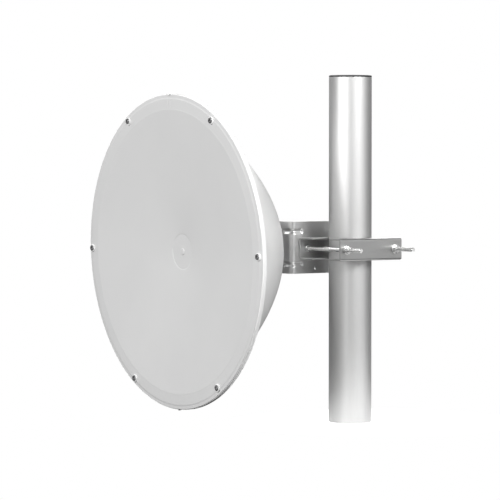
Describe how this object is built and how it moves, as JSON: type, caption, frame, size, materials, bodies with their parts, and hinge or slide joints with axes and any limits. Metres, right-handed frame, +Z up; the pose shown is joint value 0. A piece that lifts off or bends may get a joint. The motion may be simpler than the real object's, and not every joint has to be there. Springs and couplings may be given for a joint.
{
  "type": "microwave dish antenna",
  "caption": "Round parabolic radio antenna with a flat-bordered radome and a deep bowl behind it, carried by a folded arm and a two-jaw clamp on a steel pole",
  "frame": {"origin": "middle of the pole's bottom end, on the flat face of its foot", "axes": "+Z up along the pole, -Y the way the dish looks, -X the side of the pole on which the dish stands"},
  "size_m": [0.7294, 0.4934, 0.81],
  "materials": {
    "mast_steel": "satin galvanised tube",
    "cap_plastic": "dark matte moulding",
    "galvanised_steel": "smooth galvanised sheet",
    "zinc_plated_steel": "bright zinc plate",
    "cast_aluminium": "fine cast skin",
    "white_paint": "white powder coat on spun aluminium",
    "radome_plastic": "light grey moulded sheet",
    "screw_steel": "dark stainless head",
    "cup_plastic": "white moulding"
  },
  "bodies": {
    "mast": {"mast_tube": "mast_steel", "mast_foot": "mast_steel", "mast_cap": "cap_plastic"},
    "clamp": {"inner_jaw": "galvanised_steel", "outer_jaw": "galvanised_steel", "clamp_rod_front": "zinc_plated_steel", "clamp_rod_rear": "zinc_plated_steel", "back_nut_front": "zinc_plated_steel", "back_nut_rear": "zinc_plated_steel", "inner_nut_front": "zinc_plated_steel", "inner_nut_rear": "zinc_plated_steel", "outer_nut_front": "zinc_plated_steel", "outer_nut_rear": "zinc_plated_steel", "outer_washer_front": "zinc_plated_steel", "outer_washer_rear": "zinc_plated_steel", "mount_arm": "galvanised_steel", "pivot_bolt_left": "zinc_plated_steel", "pivot_bolt_right": "zinc_plated_steel", "pivot_nut_left": "zinc_plated_steel", "pivot_nut_right": "zinc_plated_steel"},
    "dish": {"tilt_bracket": "galvanised_steel", "lock_bolt_left": "zinc_plated_steel", "lock_bolt_right": "zinc_plated_steel", "lock_nut_left": "zinc_plated_steel", "lock_nut_right": "zinc_plated_steel", "reflector": "white_paint", "radome": "radome_plastic", "hub_plate": "cast_aluminium", "hub_bolt_1": "zinc_plated_steel", "hub_bolt_2": "zinc_plated_steel", "hub_bolt_3": "zinc_plated_steel", "hub_bolt_4": "zinc_plated_steel", "feed_port": "cast_aluminium", "screw_cup_1": "cup_plastic", "screw_cup_2": "cup_plastic", "screw_cup_3": "cup_plastic", "screw_cup_4": "cup_plastic", "screw_cup_5": "cup_plastic", "screw_cup_6": "cup_plastic", "radome_screw_1": "screw_steel", "radome_screw_2": "screw_steel", "radome_screw_3": "screw_steel", "radome_screw_4": "screw_steel", "radome_screw_5": "screw_steel", "radome_screw_6": "screw_steel", "rim_clip": "cup_plastic", "drain_plug": "cap_plastic"}
  },
  "joints": [
    {"name": "azimuth", "type": "hinge", "parent": "mast", "child": "clamp", "pos_m": [0, 0, 0.405], "axis": [0, 0, 1], "continuous": true},
    {"name": "elevation", "type": "hinge", "parent": "clamp", "child": "dish", "pos_m": [-0.1627, -0.0883, 0.4064], "axis": [-1, 0, 0], "range_deg": [-10.37, 13.63]}
  ]
}
